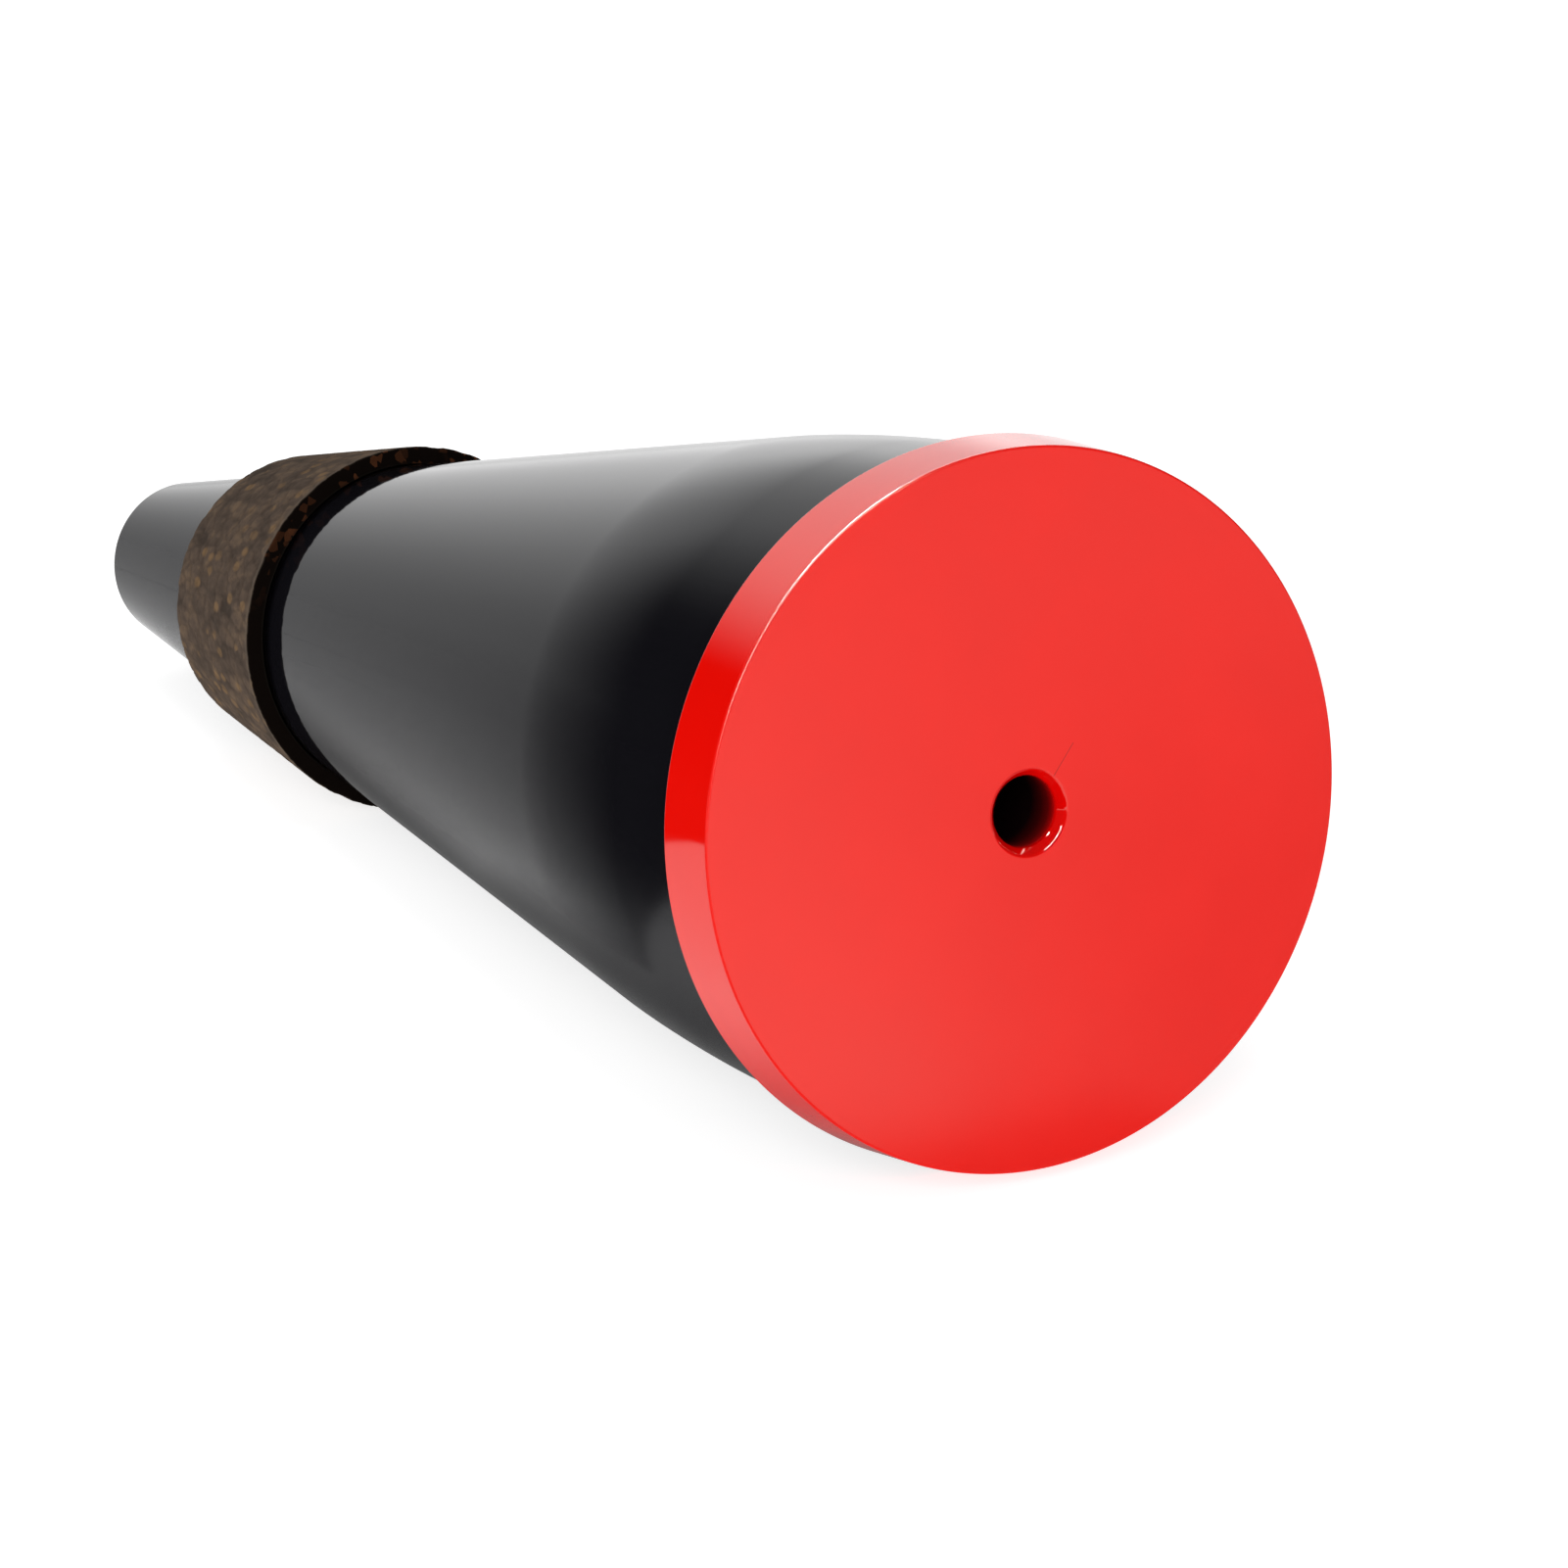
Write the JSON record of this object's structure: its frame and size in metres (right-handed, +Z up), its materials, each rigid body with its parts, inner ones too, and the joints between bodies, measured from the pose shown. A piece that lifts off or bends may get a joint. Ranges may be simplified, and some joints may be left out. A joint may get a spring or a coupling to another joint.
{
  "type": "horn mute",
  "caption": "Long hollow conical mute for a brass horn bell: black moulded shell, red vented lid on the wide end, wrapped cork ring near the open narrow end.",
  "frame": {"origin": "on the table, under the middle of the lying mute's box", "axes": "+Z up, +Y along the floor from the lid towards the narrow open end, +X to the right of someone facing along +Y"},
  "size_m": [0.1018, 0.2855, 0.1024],
  "materials": {
    "black_shell": "satin black moulded plastic",
    "red_lid": "glossy red moulded plastic",
    "cork": "matte dark agglomerated cork"
  },
  "bodies": {
    "root": {"conical_shell": "black_shell", "base_lid": "red_lid", "vent_tube": "black_shell", "cork_ring": "cork"}
  },
  "joints": []
}
